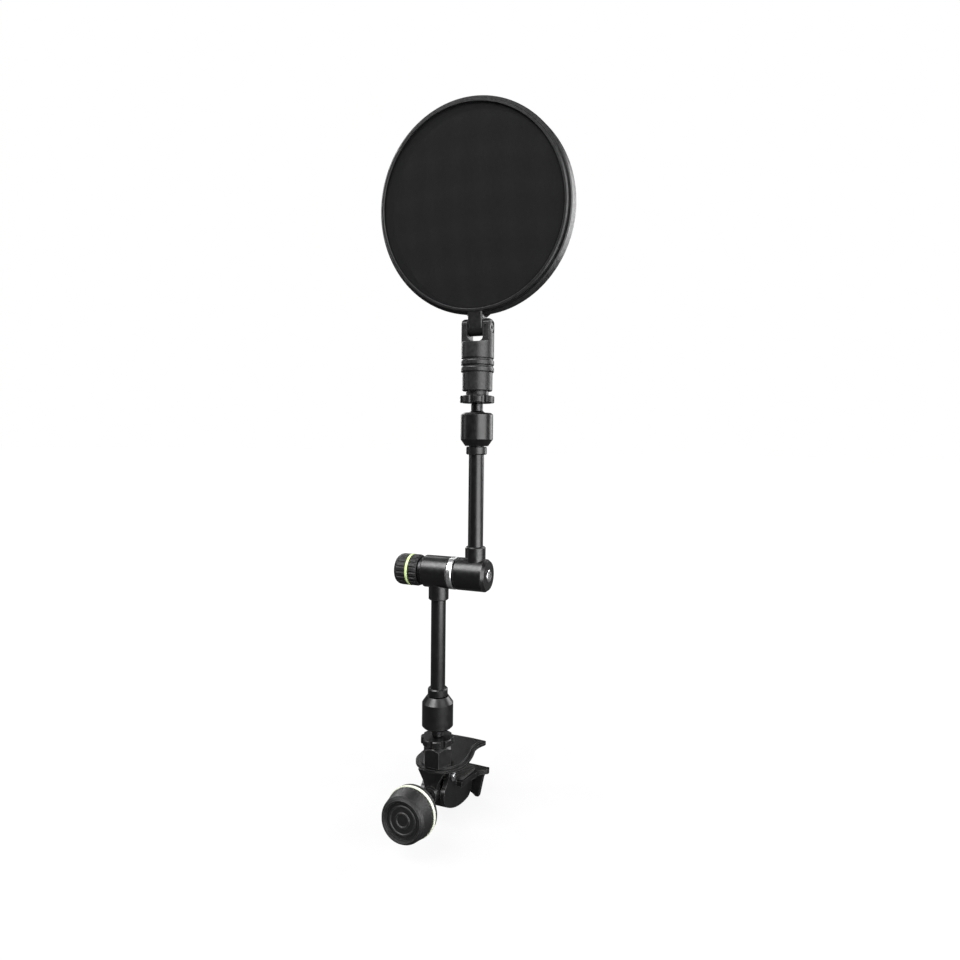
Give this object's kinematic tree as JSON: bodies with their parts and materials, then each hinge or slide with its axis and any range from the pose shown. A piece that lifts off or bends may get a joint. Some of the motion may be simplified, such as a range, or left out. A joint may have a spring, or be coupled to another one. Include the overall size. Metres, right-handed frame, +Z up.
{
  "type": "pop filter",
  "caption": "Round double-screen pop filter on a jointed locking arm with ball ends, a central elbow knob and a screw jaw clamp.",
  "frame": {"origin": "middle of the upper jaw's gripping face, where the clamp rests on what it grips", "axes": "+Z up along the arm and out of the gripped surface, +X along the elbow axis towards the upper arm, the screens' front and the clamp knob face -Y"},
  "size_m": [0.1554, 0.1226, 0.5677],
  "materials": {
    "satin_black": "black anodised, satin",
    "moulded_black": "fine grained black plastic",
    "knob_black": "textured black plastic",
    "cast_black": "black powder coat on a die casting",
    "lime": "pale lime green, semi-gloss",
    "pale_ring": "off-white, semi-gloss",
    "steel": "bright turned steel",
    "dark_steel": "black oxide",
    "bright_ring": "clear anodised, turned",
    "brass": "plain turned brass",
    "rubber": "matte moulded rubber",
    "mesh": "black nylon knit, see-through",
    "slip_plastic": "natural low-friction plastic"
  },
  "bodies": {
    "clamp": {"clamp_body": "cast_black", "clamp_insert": "brass", "upper_jaw_pad": "rubber", "jaw_pivot_pin": "steel", "pin_clips": "steel", "jaw_spring": "steel", "screw_bush": "dark_steel"},
    "jaw": {"clamp_jaw": "cast_black", "lower_jaw_pad": "rubber"},
    "thrust_cap": {"thrust_cap": "dark_steel"},
    "clamp_knob": {"clamp_screw": "dark_steel", "clamp_knob_hub": "dark_steel", "clamp_knob_front": "knob_black", "clamp_knob_ring": "pale_ring", "clamp_knob_rear": "knob_black", "clamp_knob_cap": "knob_black"},
    "lower_stud": {"lower_ball_stud": "dark_steel"},
    "lower_wheel": {"lower_lock_wheel": "satin_black"},
    "lower_pad": {"lower_ball_pad": "slip_plastic"},
    "lower_arm": {"lower_ball_housing": "satin_black", "lower_tube_collar": "satin_black", "lower_tube": "satin_black", "lower_rod_guides": "slip_plastic", "lower_push_rod": "steel", "lower_ferrule": "satin_black", "lower_barrel": "satin_black", "lower_wedge": "steel", "friction_ring": "bright_ring", "thrust_washer": "dark_steel"},
    "centre_knob": {"centre_knob_nut": "steel", "centre_knob_front": "knob_black", "centre_knob_ring": "lime", "centre_knob_rear": "knob_black"},
    "upper_arm": {"upper_barrel": "satin_black", "end_cap": "satin_black", "centre_bolt": "steel", "upper_wedge": "steel", "upper_ferrule": "satin_black", "upper_tube": "satin_black", "upper_rod_guides": "slip_plastic", "upper_push_rod": "steel", "upper_tube_collar": "satin_black", "upper_ball_housing": "satin_black"},
    "upper_pad": {"upper_ball_pad": "slip_plastic"},
    "upper_stud": {"upper_ball_stud": "dark_steel"},
    "upper_wheel": {"upper_lock_wheel": "satin_black"},
    "yoke": {"yoke_body": "moulded_black", "yoke_insert": "brass", "yoke_pivot_screw": "dark_steel", "yoke_pivot_nut": "dark_steel"},
    "head": {"front_hoop": "moulded_black", "rear_hoop": "moulded_black", "spacer_ring": "moulded_black", "front_screen": "mesh", "rear_screen": "mesh"}
  },
  "joints": [
    {"name": "lower_stud_turn", "type": "hinge", "parent": "clamp", "child": "lower_stud", "pos_m": [0, -0.033, 0], "axis": [0, 0, 1], "range_deg": [-180, 180]},
    {"name": "lower_wheel_turn", "type": "hinge", "parent": "lower_stud", "child": "lower_wheel", "pos_m": [0, -0.033, 0], "axis": [0, 0, 1], "range_deg": [-180, 180]},
    {"name": "lower_ball_tilt", "type": "hinge", "parent": "lower_stud", "child": "lower_pad", "pos_m": [0, -0.033, 0.0428], "axis": [1, 0, 0], "range_deg": [-20, 20]},
    {"name": "lower_ball_roll", "type": "hinge", "parent": "lower_pad", "child": "lower_arm", "pos_m": [0, -0.033, 0.0428], "axis": [0, 0, 1], "range_deg": [-180, 180]},
    {"name": "elbow", "type": "hinge", "parent": "lower_arm", "child": "upper_arm", "pos_m": [0, -0.033, 0.164], "axis": [1, 0, 0], "range_deg": [-120, 120]},
    {"name": "centre_knob_turn", "type": "hinge", "parent": "lower_arm", "child": "centre_knob", "pos_m": [0, -0.033, 0.164], "axis": [1, 0, 0], "range_deg": [-180, 180]},
    {"name": "upper_ball_roll", "type": "hinge", "parent": "upper_arm", "child": "upper_pad", "pos_m": [0.0318, -0.033, 0.2852], "axis": [0, 0, 1], "range_deg": [-180, 180]},
    {"name": "upper_ball_tilt", "type": "hinge", "parent": "upper_pad", "child": "upper_stud", "pos_m": [0.0318, -0.033, 0.2852], "axis": [1, 0, 0], "range_deg": [-20, 20]},
    {"name": "upper_wheel_turn", "type": "hinge", "parent": "upper_stud", "child": "upper_wheel", "pos_m": [0.0318, -0.033, 0.2852], "axis": [0, 0, 1], "range_deg": [-180, 180]},
    {"name": "yoke_turn", "type": "hinge", "parent": "upper_stud", "child": "yoke", "pos_m": [0.0318, -0.033, 0.2852], "axis": [0, 0, 1], "range_deg": [-180, 180]},
    {"name": "head_tilt", "type": "hinge", "parent": "yoke", "child": "head", "pos_m": [0.0318, -0.033, 0.35785], "axis": [1, 0, 0], "range_deg": [-60, 50]},
    {"name": "clamp_knob_turn", "type": "hinge", "parent": "thrust_cap", "child": "clamp_knob", "pos_m": [0, -0.095, -0.0124], "axis": [0, 0.9981, -0.061], "range_deg": [-319.7, 1065.7]},
    {"name": "thrust_slide", "type": "slide", "parent": "clamp", "child": "thrust_cap", "axis": [0, 0.9981, -0.061], "range_m": [-0.00114, 0.00373]},
    {"name": "jaw_swing", "type": "hinge", "parent": "clamp", "child": "jaw", "pos_m": [0, -0.026, -0.006], "axis": [1, 0, 0], "range_deg": [-6, 20]}
  ],
  "couplings": [
    {"joint": "thrust_slide", "follows": "jaw_swing", "m_per_rad": 0.0106},
    {"joint": "clamp_knob_turn", "follows": "jaw_swing", "ratio": 53.283}
  ]
}
